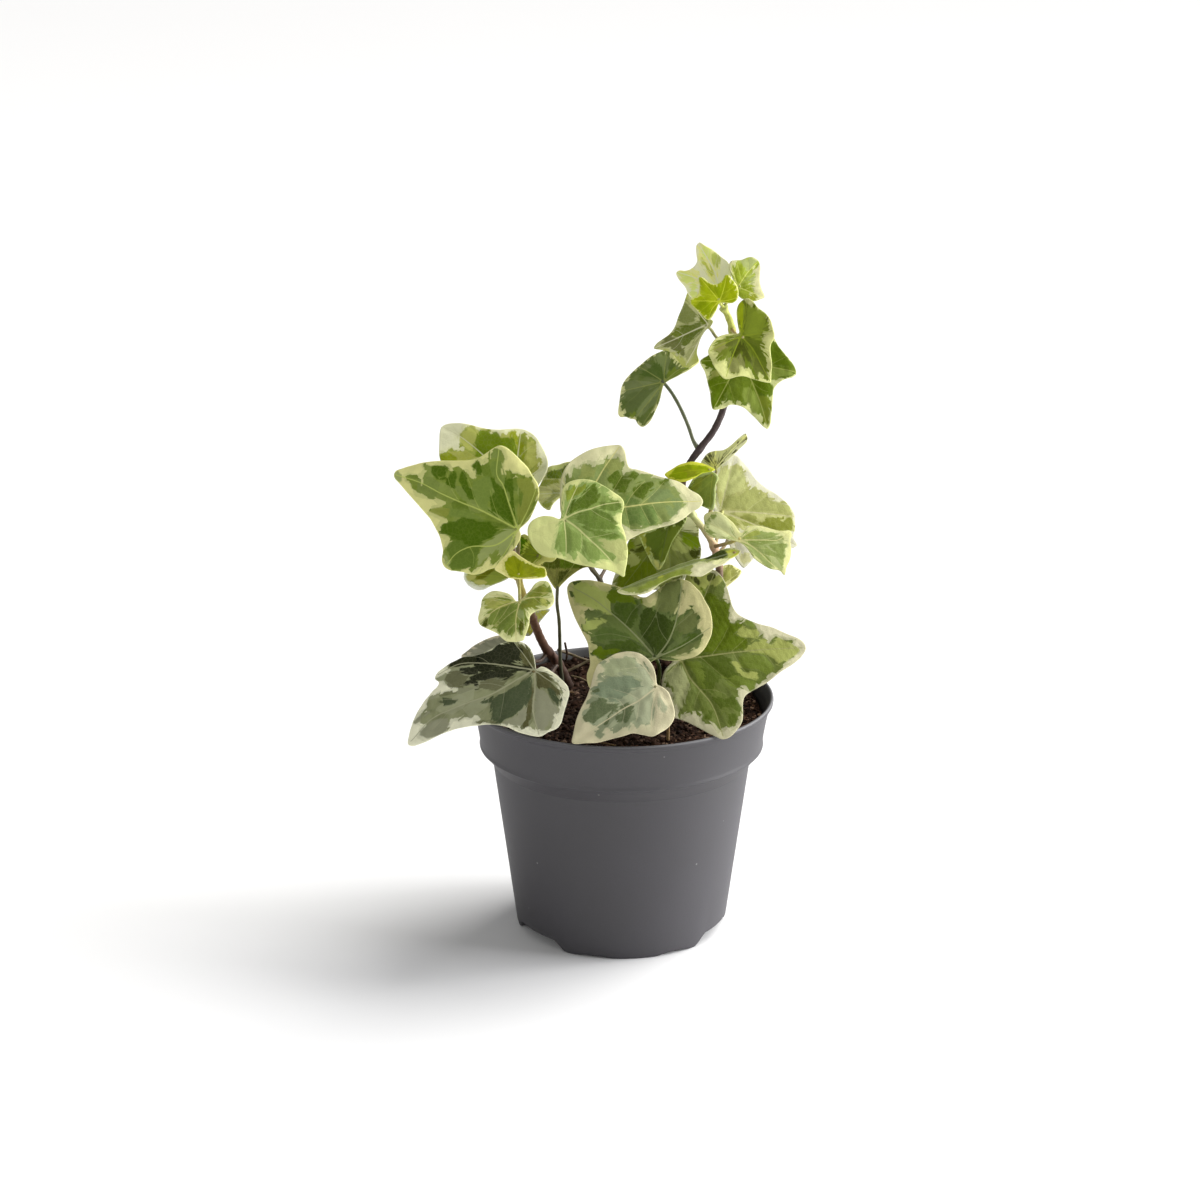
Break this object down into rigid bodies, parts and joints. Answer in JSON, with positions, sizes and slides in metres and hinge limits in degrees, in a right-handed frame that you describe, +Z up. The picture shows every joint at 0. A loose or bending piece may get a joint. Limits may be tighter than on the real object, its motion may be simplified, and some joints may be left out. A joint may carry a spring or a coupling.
{
  "type": "potted ivy plant",
  "caption": "Small trailing ivy with lobed, cream-edged green leaves on thin dark stems, growing from soil in a plain round dark grey plastic pot with a raised upper band.",
  "frame": {"origin": "on the pot's axis, at the level of the flat underside it stands on", "axes": "+Z up along the pot's axis, -Y towards the side the plant is seen from, +X to that viewer's right; the tall shoot leans to +X"},
  "size_m": [0.121, 0.0919, 0.2034],
  "materials": {
    "pot": "satin",
    "soil": "matte",
    "stem": "matte",
    "leaf": "satin",
    "young_leaf": "satin"
  },
  "bodies": {
    "root": {"pot": "pot", "soil": "soil", "stem_right": "stem", "stem_right_side": "stem", "stem_left": "stem", "twig": "stem", "stem_centre": "stem", "crown_leaf_young": "young_leaf", "crown_leaf_right": "leaf", "crown_leaf_back": "leaf", "upper_leaf_hanging": "leaf", "upper_leaf_left": "leaf", "upper_leaf_front": "leaf", "upper_leaf_right": "leaf", "mid_leaf_upright": "leaf", "mid_leaf_lime": "young_leaf", "mid_leaf_dark": "leaf", "mid_leaf_pale_back": "leaf", "mid_leaf_bright_right": "leaf", "mid_leaf_level": "leaf", "mid_leaf_drooping": "leaf", "mid_leaf_shaded": "leaf", "centre_leaf_front": "leaf", "centre_leaf_large": "leaf", "left_leaf_large": "leaf", "left_leaf_back": "leaf", "left_leaf_between": "leaf", "left_leaf_inner": "leaf", "left_leaf_curled": "young_leaf", "left_leaf_under": "leaf", "left_leaf_small": "leaf", "left_leaf_behind_stem": "leaf", "left_leaf_underside": "leaf", "low_leaf_left": "leaf", "low_leaf_left_back": "leaf", "low_leaf_centre": "leaf", "low_leaf_front": "leaf", "low_leaf_right": "leaf", "low_leaf_pale": "leaf", "back_leaf_centre": "leaf", "back_leaf_right": "leaf", "back_leaf_middle": "leaf", "back_leaf_left": "leaf"}
  },
  "joints": []
}
